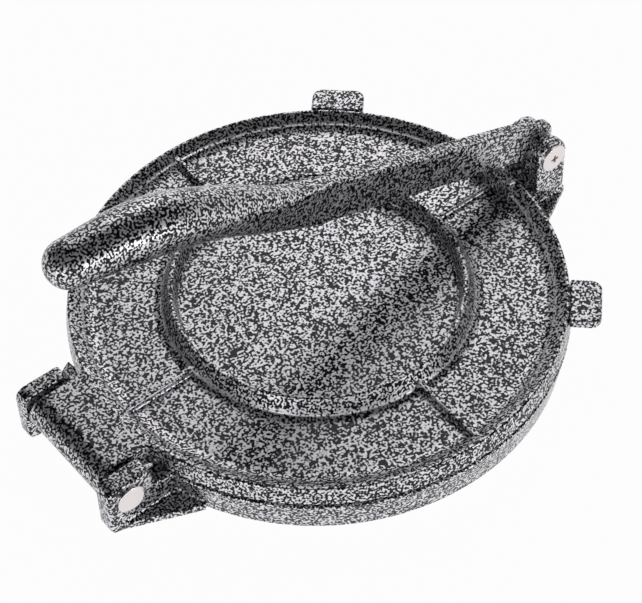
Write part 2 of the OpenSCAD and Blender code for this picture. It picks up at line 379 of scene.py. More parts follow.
def lathe(
    profile: Sequence[Point], steps: int, sweep: float = 360.0, start: float = 0.0
) -> bmesh.types.BMesh:
    """Turns a profile of radius and height about the Z axis.

    Args:
        profile: Points from the axis round the section and back, or a closed section.
        steps: Number of steps round the sweep.
        sweep: Angle of the sweep in degrees.
        start: Angle where the sweep starts.

    Returns:
        A closed mesh in millimetres.
    """
    bm = bmesh.new()
    full = sweep >= 360.0
    verts = [bm.verts.new((r, 0.0, z)) for r, z in profile]
    edges = [bm.edges.new(pair) for pair in zip(verts, verts[1:])]
    if not full:
        edges.append(bm.edges.new((verts[-1], verts[0])))
    bmesh.ops.rotate(bm, verts=verts, matrix=Matrix.Rotation(radians(start), 3, "Z"))
    bmesh.ops.spin(
        bm, geom=verts + edges, axis=(0, 0, 1), cent=(0, 0, 0), angle=radians(sweep),
        steps=steps, use_merge=full,
    )
    bmesh.ops.remove_doubles(bm, verts=bm.verts, dist=0.001)
    if not full:
        bmesh.ops.holes_fill(bm, edges=[e for e in bm.edges if e.is_boundary], sides=0)
    bmesh.ops.recalc_face_normals(bm, faces=bm.faces)
    return bm


def prism(outline: Sequence[Point], low: float, high: float, across: str = "Y") -> bmesh.types.BMesh:
    """Extrudes an outline between two faces.

    Args:
        outline: Points in the XZ plane for across "Y", in the XY plane for "Z", or in
            the YZ plane for "X".
        low: Where the first face lies along the extrusion.
        high: Where the second face lies.
        across: Axis of the extrusion.

    Returns:
        A closed mesh in millimetres.
    """
    put: dict[str, Callable[[float, float], tuple[float, float, float]]] = {
        "X": lambda a, b: (low, a, b),
        "Y": lambda a, b: (a, low, b),
        "Z": lambda a, b: (a, b, low),
    }
    bm = bmesh.new()
    face = bm.faces.new([bm.verts.new(put[across](*p)) for p in outline])
    made = bmesh.ops.extrude_face_region(bm, geom=[face])["geom"]
    move = {"X": (1, 0, 0), "Y": (0, 1, 0), "Z": (0, 0, 1)}[across]
    moved = [g for g in made if isinstance(g, bmesh.types.BMVert)]
    bmesh.ops.translate(bm, verts=moved, vec=Vector(move) * (high - low))
    if not any(f for f in bm.faces if len(f.verts) == len(outline) and f not in made and f.is_valid):
        bmesh.ops.holes_fill(bm, edges=[e for e in bm.edges if e.is_boundary], sides=0)
    bmesh.ops.recalc_face_normals(bm, faces=bm.faces)
    return bm


def soften(bm: bmesh.types.BMesh, width: float, segments: int = 3, angle: float = 50.0) -> None:
    """Bevels every edge that turns by more than an angle.

    Args:
        bm: Mesh to bevel, in place.
        width: Width of the bevel in millimetres.
        segments: Number of faces across the bevel.
        angle: Least turn of an edge, in degrees.
    """
    sharp = [e for e in bm.edges if len(e.link_faces) == 2 and e.calc_face_angle() > radians(angle)]
    bmesh.ops.bevel(
        bm, geom=sharp, offset=width, offset_type="OFFSET", affect="EDGES",
        segments=segments, profile=0.5, material=-1, clamp_overlap=True,
    )


def join(shells: Iterable[bmesh.types.BMesh]) -> bmesh.types.BMesh:
    """Puts several meshes into one and frees them.

    Args:
        shells: Meshes to join.

    Returns:
        The joined mesh.
    """
    whole = bmesh.new()
    for shell in shells:
        holder = bpy.data.meshes.new("holder")
        shell.to_mesh(holder)
        shell.free()
        whole.from_mesh(holder)
        bpy.data.meshes.remove(holder)
    return whole


def cut(solid: bmesh.types.BMesh, tool: bmesh.types.BMesh, operation: str) -> bmesh.types.BMesh:
    """Combines two solids and frees them.

    Args:
        solid: Solid to work on.
        tool: Solid that works on it.
        operation: DIFFERENCE or INTERSECT.

    Returns:
        The result.
    """
    holders = []
    for mesh in (solid, tool):
        data = bpy.data.meshes.new("solid")
        mesh.to_mesh(data)
        mesh.free()
        holder = bpy.data.objects.new("solid", data)
        bpy.context.scene.collection.objects.link(holder)
        holders.append(holder)
    work = holders[0].modifiers.new("cut", "BOOLEAN")
    work.operation = operation
    work.solver = "EXACT"
    work.object = holders[1]
    bpy.context.view_layer.update()
    made = bpy.data.meshes.new_from_object(
        holders[0].evaluated_get(bpy.context.evaluated_depsgraph_get())
    )
    out = bmesh.new()
    out.from_mesh(made)
    used = [holder.data for holder in holders] + [made]
    for holder in holders:
        bpy.data.objects.remove(holder)
    for data in used:
        bpy.data.meshes.remove(data)
    return out


def cast(shells: Iterable[bmesh.types.BMesh], grain: float, passes: int) -> bmesh.types.BMesh:
    """Fuses overlapping solids into one skin with the soft edges and fillets of a casting.

    Args:
        shells: Closed solids in millimetres.
        grain: Size of the remeshed faces in millimetres.
        passes: Smoothing passes, which set how soft the edges get.

    Returns:
        One closed mesh in millimetres.
    """
    rough = join(shells)
    data = bpy.data.meshes.new("casting")
    rough.to_mesh(data)
    rough.free()
    holder = bpy.data.objects.new("casting", data)
    bpy.context.scene.collection.objects.link(holder)
    remesh = holder.modifiers.new("skin", "REMESH")
    remesh.mode = "VOXEL"
    remesh.voxel_size = grain
    remesh.adaptivity = 0.0
    bpy.context.view_layer.update()
    skin = bpy.data.meshes.new_from_object(
        holder.evaluated_get(bpy.context.evaluated_depsgraph_get())
    )
    bm = bmesh.new()
    bm.from_mesh(skin)
    bpy.data.objects.remove(holder)
    for used in (data, skin):
        bpy.data.meshes.remove(used)
    for _ in range(passes):
        bmesh.ops.smooth_vert(
            bm, verts=bm.verts, factor=0.5, use_axis_x=True, use_axis_y=True, use_axis_z=True
        )
    bmesh.ops.recalc_face_normals(bm, faces=bm.faces)
    return bm


def finish_piece(
    bm: bmesh.types.BMesh,
    name: str,
    body: Body,
    node: str,
    material: bpy.types.Material,
    crease: float = 35.0,
) -> bpy.types.Object:
    """Turns a mesh in millimetres into a finished piece that stands for a CAD node.

    Args:
        bm: The mesh, which is freed.
        name: Name of the piece.
        body: Body that it rides on.
        node: CAD node that it replaces.
        material: Its finish.
        crease: Angle in degrees above which an edge stays sharp.

    Returns:
        The new object, at the origin and unscaled.
    """
    bmesh.ops.scale(bm, verts=bm.verts, vec=(MM, MM, MM))
    for face in bm.faces:
        face.smooth = True
    data = bpy.data.meshes.new(name)
    bm.to_mesh(data)
    bm.free()
    data.set_sharp_from_angle(angle=radians(crease))
    data.materials.append(material)
    piece = bpy.data.objects.new(name, data)
    bpy.context.scene.collection.objects.link(piece)
    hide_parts(node)
    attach(piece, body.value)
    even = piece.modifiers.new("even_normals", "WEIGHTED_NORMAL")
    even.keep_sharp = True
    LOG.info("%s: %d faces on %s", name, len(data.polygons), body.value)
    return piece


# ---------------------------------------------------------------- shared sizes


@dataclass
class Layout:
    """Sizes and places that several castings share."""

    plate_r: float = 80.0
    lip: float = 0.8
    base_h: float = 12.0
    gap: float = 0.3
    hinge_out: float = 11.8
    hinge_rise: float = 1.2
    lug_near: Point = (18.2, 24.8)
    lug_far: Point = (21.2, 26.4)
    pivot_out: float = 13.8
    pivot_rise: float = 10.3
    ear_in: float = 4.0
    ear_out: float = 8.0

    @property
    def rim_r(self) -> float:
        """Outer radius of both plates."""
        return self.plate_r + self.lip

    def lug(self, side: int) -> Point:
        """Distances of a hinge lug's inner and outer face from the middle plane."""
        return self.lug_far if side > 0 else self.lug_near

    @property
    def hinge(self) -> Point:
        """Hinge axis in the XZ plane."""
        return (-self.plate_r - self.hinge_out, self.base_h + self.hinge_rise)

    @property
    def pivot(self) -> Point:
        """Lever's pivot in the XZ plane."""
        return (self.plate_r + self.pivot_out, self.base_h + self.pivot_rise)


# ---------------------------------------------------------------- lower plate


@dataclass
class LowerPlate:
    """Lower casting: drafted disc, hinge lugs, foot flanges and the lever's clevis."""

    layout: Layout
    enamel: Hammertone
    draft: float = 1.6
    edge: float = 0.5
    lug_r: float = 6.9
    nose: Point = (7.9, 6.8)
    heel_r: float = 2.6
    brow_r: float = 3.4
    lug_l: Point = (7.6, 9.2)
    shoulder: float = 2.0
    flange_h: float = 3.0
    flange_out: Point = (10.4, 12.0)
    flange_in: float = 3.3
    flange_root: float = 7.7
    flange_nose: float = 0.8
    flange_step: float = 1.1
    ear_r: float = 6.3
    neck_h: float = 8.0
    clevis_flange: float = 12.6
    clevis_nose: float = 1.4
    block_in: float = 6.0
    wedge_in: float = 12.0
    grain: float = 0.5
    passes: int = 5
    sink: float = 0.25

    def disc(self) -> bmesh.types.BMesh:
        """Builds the round body.

        Returns:
            The disc with its drafted side and soft edges.
        """
        top_r, low_r = self.layout.rim_r, self.layout.rim_r - self.draft
        h, e = self.layout.base_h, self.edge
        outline = (
            [(0.0, 0.0), (low_r * 0.5, 0.0)]
            + arc((low_r - e, e), e, -90, 0)
            + arc((top_r - e, h - e), e, 0, 90)
            + [(top_r * 0.5, h), (0.0, h)]
        )
        return lathe(outline, TURNED_STEPS)

    def wedge(self, middle: float, spread: float) -> bmesh.types.BMesh:
        """Builds a slice of the disc, sunk a little, for a block to blend into.

        Args:
            middle: Middle angle of the slice in degrees.
            spread: Its angle in degrees.

        Returns:
            The slice.
        """
        s, h = self.sink, self.layout.base_h
        top_r, low_r = self.layout.rim_r - s, self.layout.rim_r - self.draft - s
        core = low_r - self.wedge_in
        section = [(core, s), (low_r, s), (top_r, h - s), (core, h - s)]
        return lathe(section, 48, spread, middle - spread / 2)

    def lug(self, side: int) -> list[bmesh.types.BMesh]:
        """Builds a hinge lug with its flange.

        Args:
            side: 1 for the left lug, -1 for the right one.

        Returns:
            The solids of the lug.
        """
        lay = self.layout
        x, z = lay.hinge
        top, back = z + self.lug_r, self.block_in - lay.plate_r
        face, end = x - self.nose[side > 0], x + self.lug_l[side > 0]
        inner, outer = lay.lug(side)
        outline = (
            [(back, 0.0), (back, lay.base_h), (end + self.shoulder, lay.base_h), (end, top)]
            + arc((face + self.brow_r, top - self.brow_r), self.brow_r, 90, 180, 8)
            + arc((face + self.heel_r, self.heel_r), self.heel_r, 180, 270, 8)
        )
        low, high = sorted((side * inner, side * outer))
        tip, root = face + self.flange_nose, self.flange_root - lay.plate_r
        foot = [
            (tip, side * (inner + self.flange_in)), (tip, side * (outer - self.flange_step)),
            (root, side * (outer + self.flange_out[side > 0])), (root, side * (inner + self.flange_in)),
        ]
        return [prism(outline, low, high), prism(foot, 0.0, self.flange_h, "Z")]

    def hinge_block(self) -> bmesh.types.BMesh:
        """Builds both hinge lugs as one soft-edged block.

        Returns:
            The block.
        """
        return cast(self.lug(1) + self.lug(-1) + [self.wedge(180.0, 60.0)], self.grain, self.passes)

    def clevis_block(self) -> bmesh.types.BMesh:
        """Builds the ears, neck and flange that carry the lever.

        Returns:
            The block.
        """
        lay = self.layout
        x, z = lay.pivot
        ear = [(x - self.ear_r, 0.0), (x + self.ear_r, 0.0)] + arc((x, z), self.ear_r, 0, 180, 20)
        solids = [prism(ear, *sorted((s * lay.ear_in, s * lay.ear_out))) for s in (1, -1)]
        back, root, front = lay.plate_r - self.block_in, lay.plate_r - self.flange_h, x + self.ear_r
        neck = [(back, -lay.ear_out), (front, -lay.ear_out), (front, lay.ear_out), (back, lay.ear_out)]
        end, spread, half = front + self.clevis_nose, lay.ear_out + self.clevis_flange, lay.ear_out - 0.5
        foot = [(root, -spread), (end, -half), (end, half), (root, spread)]
        solids += [
            prism(neck, 0.0, self.neck_h, "Z"),
            prism(foot, 0.0, self.flange_h, "Z"),
            self.wedge(0.0, 44.0),
        ]
        return cast(solids, self.grain, self.passes)

    def build(self) -> bpy.types.Object:
        """Builds and dresses the lower plate.

        Returns:
            The piece.
        """
        bm = join([self.disc(), self.hinge_block(), self.clevis_block()])
        return finish_piece(
            bm, "lower_plate_casting", Body.LOWER, "base",
            self.enamel.material(),
        )


# ---------------------------------------------------------------- upper plate


@dataclass
class UpperPlate:
    """Upper casting: dish with ring and ribs, finger tabs, pad, tongue and barrel."""

    layout: Layout
    enamel: Hammertone
    floor_t: float = 3.6
    flat_loops: Point = (20.0, 40.0)
    rim_h: float = 3.8
    rim_w: float = 2.1
    rim_draft: float = 0.9
    rim_round: float = 0.6
    skirt: float = 1.4
    rim_foot: float = 70.8
    rim_turns: Turns = ((9.0, 0, 24), (1.5, 24, 60), (-2.2, 60, 40))
    wall_edge: float = 0.3
    ring_r: float = 47.0
    ring_h: float = 6.1
    ring_w: float = 1.8
    ring_foot: float = 53.2
    ring_turns: Turns = ((6.7, 0, 20), (1.5, 20, 71))
    ring_crest: float = 0.7
    ring_lean: float = 1.2
    ring_fillet: float = 1.3
    rib_w: float = 2.0
    rib_h: float = 2.4
    rib_fillet: float = 1.0
    rib_edge: float = 0.5
    rib_end: float = 1.2
    tab_w: float = 17.8
    tab_t: float = 3.3
    tab_reach: float = 9.2
    tab_r: float = 3.5
    tab_angles: tuple[float, float] = (-44.5, 46.5)
    tab_edge: float = 0.8
    tab_root: float = 0.9
    pad_in: float = 5.7
    pad_w: float = 19.4
    pad_t: float = 2.9
    pad_lean: float = 0.8
    pad_h: float = 8.4
    barrel_r: float = 6.5
    end_play: float = 0.15
    tongue_fillet: float = 4.0
    flank_lean: float = 0.884
    tongue_root: float = 4.0
    tongue_step: float = 0.05
    root: float = 1.0

    @property
    def floor_z(self) -> float:
        """Height of the tray's floor."""
        return self.layout.base_h + self.layout.gap + self.floor_t

    @property
    def rim_z(self) -> float:
        """Height of the rim's crest."""
        return self.floor_z + self.rim_h

    def dish(self) -> bmesh.types.BMesh:
        """Turns the floor, rim and stiffening ring.

        Returns:
            The dish.
        """
        lay, f, e, brow, crest = (
            self.layout, self.ring_fillet, self.wall_edge, self.rim_round, self.ring_crest
        )
        z0, z1, z2 = lay.base_h + lay.gap, self.floor_z, self.rim_z
        ring_top, half = z1 + self.ring_h, self.ring_w / 2
        foot = half + self.ring_lean
        # The floor lifts gently toward the rim and the ring before it turns up.
        rise = bends((self.rim_foot, z1), 1, self.rim_turns)
        climb = bends((self.ring_foot, z1), -1, self.ring_turns)
        outline = (
            [(0.0, z0), (self.flat_loops[1], z0), (lay.rim_r - self.skirt - e, z0)]
            + arc((lay.rim_r - e, z0 + self.skirt + 0.1), e, -45, 0, 3)
            + arc((lay.rim_r - self.rim_draft - brow, z2 - brow), brow, 8, 90)
            + [(lay.rim_r - self.rim_w, z2)]
            + rise[::-1]
            + climb
            + arc((self.ring_r + half - crest, ring_top - crest), crest, 19, 90)
            + arc((self.ring_r - half + crest, ring_top - crest), crest, 90, 169)
            + arc((self.ring_r - foot - 0.82 * f, z1 + f), f, -11, -90)
            + [(self.flat_loops[0], z1), (0.0, z1)]
        )
        return lathe(outline, TURNED_STEPS)

    def rib(self, angle: float) -> bmesh.types.BMesh:
        """Builds a straight rib with filleted feet.

        Args:
            angle: Direction of the rib in degrees.

        Returns:
            The rib.
        """
        z1, half, f, e = self.floor_z, self.rib_w / 2, self.rib_fillet, self.rib_edge
        top = z1 + self.rib_h
        outline = (
            [(half + f, z1 - self.root)]
            + arc((half + f, z1 + f), f, -90, -180, 5)
            + arc((half - e, top - e), e, 0, 90, 5)
            + arc((e - half, top - e), e, 90, 180, 5)
            + arc((-half - f, z1 + f), f, 0, -90, 5)
            + [(-half - f, z1 - self.root)]
        )
        inner = self.layout.rim_r - self.rim_w - self.rib_end
        bm = prism(outline, self.ring_r, inner, "X")
        bmesh.ops.rotate(bm, verts=bm.verts, matrix=Matrix.Rotation(radians(angle), 3, "Z"))
        return bm

    def tab(self, angle: float) -> bmesh.types.BMesh:
        """Builds a finger tab on the rim.

        Args:
            angle: Direction of the tab in degrees.

        Returns:
            The tab.
        """
        rim, half, r = self.layout.rim_r, self.tab_w / 2, self.tab_r
        tip, root = rim + self.tab_reach, rim - self.tab_root
        outline = (
            [(root, -half)]
            + arc((tip - r, r - half), r, -90, 0)
            + arc((tip - r, half - r), r, 0, 90)
            + [(root, half)]
        )
        bm = prism(outline, self.rim_z - self.tab_t, self.rim_z, "Z")
        soften(bm, self.tab_edge, 3, 60)
        bmesh.ops.rotate(bm, verts=bm.verts, matrix=Matrix.Rotation(radians(angle), 3, "Z"))
        return bm

    def pad(self) -> bmesh.types.BMesh:
        """Builds the upright pad that the lever bears on.

        Returns:
            The pad, blended into the rim.
        """
        x, z1 = self.layout.plate_r - self.pad_in, self.floor_z
        foot, half = self.pad_t / 2 + self.pad_lean, self.pad_t / 2
        top = z1 + self.pad_h
        low, brow = z1 - self.root, self.rim_z - self.rim_round
        post = [(x - foot, low), (x + foot, low), (x + half, top), (x - half, top)]
        inner = self.layout.rim_r - self.rim_w - self.root
        web = [(x, low), (inner, low), (inner, brow), (x, brow)]
        w = self.pad_w / 2
        return cast([prism(post, -w, w), prism(web, -w, w)], 0.35, 4)

    def tongue(self) -> bmesh.types.BMesh:
        """Builds the tongue that leaves the rim flush and rolls over into the barrel.

        Returns:
            The tongue with its barrel.
        """
        lay = self.layout
        x, z = lay.hinge
        low, crest = lay.base_h + lay.gap, self.rim_z - self.tongue_step
        root = self.rim_w + self.tongue_root - lay.rim_r
        turn = degrees(atan2(low - z, (self.barrel_r**2 - (low - z) ** 2) ** 0.5))
        start = touch_angle((root, crest), (x, z), self.barrel_r, 1)
        side = [(root, low), (root, crest)] + arc((x, z), self.barrel_r, start, 360 + turn, 30)
        near, far = self.flank(-1), self.flank(1)
        plan = prism(near + far[::-1], low - 6, crest + 3, "Z")
        # Both flanks lean inward as they rise, as a casting needs to leave its mould.
        upper = [v for v in plan.verts if v.co.z > z]
        bmesh.ops.scale(plan, verts=upper, vec=(1.0, self.flank_lean, 1.0))
        solid = cut(prism(side, -40, 40), plan, "INTERSECT")
        tray_r, floor, sky = lay.rim_r - self.rim_w - self.wall_edge, low - self.root, crest + 3
        tray = lathe([(0.0, floor), (tray_r, floor), (tray_r, sky), (0.0, sky)], 128)
        return cast([cut(solid, tray, "DIFFERENCE")], 0.3, 3)

    def flank(self, side: int) -> list[Point]:
        """Plan of one flank of the tongue, which turns outward into the rim.

        Args:
            side: 1 for the left flank, -1 for the right one.

        Returns:
            Points from the barrel's end to the root.
        """
        lay, f = self.layout, self.tongue_fillet
        half, rim = lay.lug(side)[0] - self.end_play, lay.rim_r
        middle = (-((rim + f) ** 2 - (half + f) ** 2) ** 0.5, half + f)
        away = degrees(atan2(-middle[1], -middle[0]))
        out = [(lay.hinge[0] - self.barrel_r - 1, half)] + arc(middle, f, -90, away, 8)
        out.append((self.rim_w + self.tongue_root - rim, middle[1]))
        return [(px, side * py) for px, py in out]

    def build(self) -> bpy.types.Object:
        """Builds and dresses the upper plate.

        Returns:
            The piece.
        """
        shells = [self.dish(), self.pad(), self.tongue()]
        shells += [self.rib(90.0 * i) for i in range(4)]
        shells += [self.tab(a) for a in self.tab_angles]
        return finish_piece(
            join(shells), "upper_plate_casting", Body.UPPER, "top_plate",
            self.enamel.material(),
        )


# ---------------------------------------------------------------- lever


@dataclass
class Station:
    """One section of the lever, square to its own direction."""

    x: float
    z: float
    high: float
    wide: float
    round: float


@dataclass
class Lever:
    """Lever casting: thin round end, flat bar and full grip."""

    layout: Layout
    enamel: Hammertone
    angle: float = 19.9
    taper: float = 1.35
    top: float = 10.27
    depth: float = 14.1
    bar_t: float = 5.0
    tongue_t: float = 2.8
    tongue_l: float = 6.8
    hub_r: float = 5.6
    hub_play: float = 0.3
    bar_l: float = 92.0
    grip_l: float = 88.0
    grip_rise: float = 35.0
    grip_d: float = 18.1
    nose_d: float = 14.8
    corner: float = 0.6
    tongue_edge: float = 0.7
    hub_edge: float = 0.4
    sides: int = 40
    bar_steps: int = 8
    grip_steps: int = 36
    nose_steps: int = 8

    def over(self, x: float) -> float:
        """Height of the bar's top edge at x."""
        px, pz = self.layout.pivot
        return pz + self.top + (px - x) * tan(radians(self.angle))

    def under(self, x: float) -> float:
        """Height of the bar's bottom edge at x."""
        px, pz = self.layout.pivot
        return pz + self.top - self.depth + (px - x) * tan(radians(self.angle - self.taper))

    def bar_station(self, x: float) -> Station:
        """Section of the straight bar at x."""
        mid = (self.over(x) + self.under(x)) / 2
        half = (self.over(x) - self.under(x)) / 2 * cos(radians(self.angle))
        return Station(x, mid, half, self.bar_t / 2, 0.0)

    def grip_stations(self) -> list[Station]:
        """Sections of the grip, from the bar to the centre of its nose.

        Returns:
            The sections.
        """
        x0 = self.layout.pivot[0] - self.bar_l
        bar = self.bar_station(x0)
        full = self.grip_d / 2
        nose = self.nose_d / 2
        # Share of the grip's length and of its rise, half height, half width, roundness.
        shares = [
            (0.2, 0.24, 0.8 * full, 0.5 * full, 0.6),
            (0.44, 0.615, 0.9 * full, 0.84 * full, 1.0),
            (0.71, 0.895, full, full, 1.0),
            (1.0, 1.0, nose, nose, 1.0),
        ]
        lead = self.bar_station(x0 + 9)
        return [lead, bar] + [
            Station(x0 - u * self.grip_l, bar.z + v * self.grip_rise, h, w, r)
            for u, v, h, w, r in shares
        ]

    @staticmethod
    def between(stations: Sequence[Station], u: float) -> Station:
        """Section on the smooth curve through the stations.

        Args:
            stations: The sections to pass through.
            u: Place on the curve, from 0 to the number of spans.

        Returns:
            The section there.
        """
        i = min(len(stations) - 2, int(u))
        t = u - i
        near = [stations[max(0, min(len(stations) - 1, k))] for k in (i - 1, i, i + 1, i + 2)]
        a, b, c, d = ([s.x, s.z, s.high, s.wide, s.round] for s in near)
        mixed = [
            q + t * (r - p) / 2 + t * t * (2 * p - 5 * q + 4 * r - s) / 2
            + t**3 * (3 * q - 3 * r + s - p) / 2
            for p, q, r, s in zip(a, b, c, d)
        ]
        mixed[4] = max(0.0, min(1.0, mixed[4]))
        return Station(*mixed)

    def ring_offsets(self, station: Station) -> list[Point]:
        """Outline of a section as offsets upward and sideways.

        Args:
            station: The section.

        Returns:
            One offset for each side of the loft.
        """
        r = min(self.corner, station.wide, station.high)
        quarter = self.sides // 4
        out: list[Point] = []
        for k in range(self.sides):
            a = 2 * pi * (k + 0.5) / self.sides
            corner, step = divmod(k, quarter)
            turn = radians(90 * corner + 90 * (step + 0.5) / quarter)
            su = 1 if corner in (0, 3) else -1
            sw = 1 if corner in (0, 1) else -1
            box = (
                su * (station.high - r) + r * cos(turn),
                sw * (station.wide - r) + r * sin(turn),
            )
            oval = (station.high * cos(a), station.wide * sin(a))
            mix = station.round
            out.append(tuple((1 - mix) * p + mix * q for p, q in zip(box, oval)))
        return out

    def add_ring(
        self, bm: bmesh.types.BMesh, station: Station, ahead: Vector, shrink: float = 1.0, push: float = 0.0
    ) -> list[bmesh.types.BMEdge]:
        """Adds one section of the loft to a mesh.

        Args:
            bm: The mesh.
            station: The section.
            ahead: Direction of the lever there, in the XZ plane.
            shrink: Factor on the section's size.
            push: Distance to move it ahead.

        Returns:
            The ring's edges.
        """
        up = Vector((ahead.z, 0.0, -ahead.x))
        middle = Vector((station.x, 0.0, station.z)) + ahead * push
        verts = [
            bm.verts.new(middle + up * (h * shrink) + Vector((0, w * shrink, 0)))
            for h, w in self.ring_offsets(station)
        ]
        return [bm.edges.new((verts[i - 1], verts[i])) for i in range(len(verts))]

    def arm(self) -> bmesh.types.BMesh:
        """Lofts the bar, the grip and its nose in one skin.

        Returns:
            The arm.
        """
        bm = bmesh.new()
        grip = self.grip_stations()
        start = self.layout.pivot[0] - self.tongue_l
        count, spans, steps = self.bar_steps, len(grip) - 1, self.grip_steps
        straight = [self.bar_station(start - (start - grip[0].x) * i / count) for i in range(count)]
        curve = [self.between(grip, spans * i / steps) for i in range(steps + 1)]
        path = straight + curve
        rings = []
        for i, here in enumerate(path):
            a, b = path[max(0, i - 1)], path[min(len(path) - 1, i + 1)]
            ahead = Vector((b.x - a.x, 0.0, b.z - a.z)).normalized()
            if i < count:
                ahead = Vector((-1.0, 0.0, tan(radians(self.angle - self.taper / 2)))).normalized()
            rings.append(self.add_ring(bm, here, ahead))
        last = path[-1]
        nose = self.nose_d / 2
        for i in range(1, self.nose_steps + 1):
            turn = radians(90 * i / (self.nose_steps + 0.5))
            rings.append(self.add_ring(bm, last, ahead, cos(turn), nose * sin(turn)))
        for low, high in zip(rings, rings[1:]):
            bmesh.ops.bridge_loops(bm, edges=low + high)
        bmesh.ops.holes_fill(bm, edges=rings[0], sides=0)
        bmesh.ops.holes_fill(bm, edges=rings[-1], sides=0)
        bmesh.ops.recalc_face_normals(bm, faces=bm.faces)
        return bm

    def end(self) -> list[bmesh.types.BMesh]:
        """Builds the thin round end and the hub on the pivot.

        Returns:
            The solids.
        """
        px, pz = self.layout.pivot
        x0, x1 = px - self.tongue_l - 2, px - 0.6
        a = self.bar_station(x1)
        outline = [(x0, self.under(x0))] + arc((x1, a.z), a.high, -90, 90, 20) + [(x0, self.over(x0))]
        plate = prism(outline, -self.tongue_t / 2, self.tongue_t / 2)
        soften(plate, self.tongue_edge, 3, 60)
        half = self.layout.ear_in - self.hub_play
        hub = prism(arc((px, pz), self.hub_r, 0, 352.5, 47), -half, half)
        soften(hub, self.hub_edge, 2, 60)
        return [plate, hub]

    def build(self) -> bpy.types.Object:
        """Builds and dresses the lever.

        Returns:
            The piece.
        """
        return finish_piece(
            join([self.arm(), *self.end()]), "lever_casting", Body.LEVER, "handle",
            self.enamel.material(), 40.0,
        )


# ---------------------------------------------------------------- pins


@dataclass
class PivotPin:
    """A post with a low domed head, and the screw that closes its other end."""

    name: str
    screw_name: str
    place: Point
    reach: Point
    post_side: int
    steel: bpy.types.Material
    pin_r: float = 3.0
    head_r: float = 5.0
    head_t: float = 1.3
    dome: float = 0.35
    bevel: float = 1.0
    post_gap: float = 0.5
    screw_r: float = 1.75
    screw_l: float = 7.5
    recess_w: float = 0.9
    recess_l: float = 3.0
    recess_d: float = 0.9

    def turned(self, head: Head, shank_r: float, shank_end: float) -> bmesh.types.BMesh:
        """Turns a headed shank along +Z, its head's seat at height zero.

        Args:
            head: Kind of head.
            shank_r: Radius of the shank.
            shank_end: Height of the shank's end, below zero.

        Returns:
            The pin.
        """
        r, t, d = self.head_r, self.head_t, self.dome if head is Head.PLAIN else self.dome * 0.6
        outline = (
            [(0.0, shank_end), (shank_r - 0.3, shank_end), (shank_r, shank_end + 0.3), (shank_r, 0.0)]
            + [(r, 0.0), (r, t - d - 0.2)]
            + arc((r - 0.15, t - d - 0.15), 0.15, 0, 70, 3)
            + [(r - self.bevel, t - 0.03), (r - self.bevel - 0.1, t), (1.0, t), (0.0, t)]
        )
        return lathe(outline, 64)

    def cut_cross(self, bm: bmesh.types.BMesh) -> bmesh.types.BMesh:
        """Sinks a cross recess into the head.

        Args:
            bm: The turned screw, which is freed.

        Returns:
            The screw with its recess.
        """
        w, l, z = self.recess_w / 2, self.recess_l / 2, self.head_t
        cross = [
            (l, -w), (l, w), (w, w), (w, l), (-w, l), (-w, w),
            (-l, w), (-l, -w), (-w, -w), (-w, -l), (w, -l), (w, -w),
        ]
        return cut(bm, prism(cross, z - self.recess_d, z + 1, "Z"), "DIFFERENCE")

    def put(self, bm: bmesh.types.BMesh, side: int) -> None:
        """Moves a turned pin from +Z to its axis along Y.

        Args:
            bm: The pin.
            side: 1 with its head at +Y, -1 with its head at -Y.
        """
        bmesh.ops.rotate(bm, verts=bm.verts, matrix=Matrix.Rotation(radians(-90 * side), 3, "X"))
        seat = (self.place[0], side * self.reach[side > 0], self.place[1])
        bmesh.ops.translate(bm, verts=bm.verts, vec=seat)
        bmesh.ops.recalc_face_normals(bm, faces=bm.faces)

    def build(self) -> list[bpy.types.Object]:
        """Builds and dresses the post and its screw.

        Returns:
            Both pieces.
        """
        post = self.turned(Head.PLAIN, self.pin_r, self.post_gap - sum(self.reach))
        self.put(post, self.post_side)
        screw = self.cut_cross(self.turned(Head.CROSS, self.screw_r, -self.screw_l))
        self.put(screw, -self.post_side)
        return [
            finish_piece(post, self.name + "_post", Body.LOWER, self.name, self.steel),
            finish_piece(screw, self.name + "_cross_screw", Body.LOWER, self.screw_name, self.steel),
        ]


# ---------------------------------------------------------------- studio


@dataclass(frozen=True)
class Lamp:
    """A soft lamp aimed at the middle of the press."""

    name: str
    place: tuple[float, float, float]
    size: tuple[float, float]
    watts: float

    def build(self, target: Vector) -> None:
        """Makes the lamp.

        Args:
            target: Point that it shines at, in metres.
        """
        data = bpy.data.lights.new(self.name, "AREA")
        data.shape = "RECTANGLE"
        data.size, data.size_y = self.size
        data.energy = self.watts
        lamp = bpy.data.objects.new(self.name, data)
        lamp.location = self.place
        lamp.rotation_euler = (target - Vector(self.place)).to_track_quat("-Z", "Y").to_euler()
        bpy.context.scene.collection.objects.link(lamp)


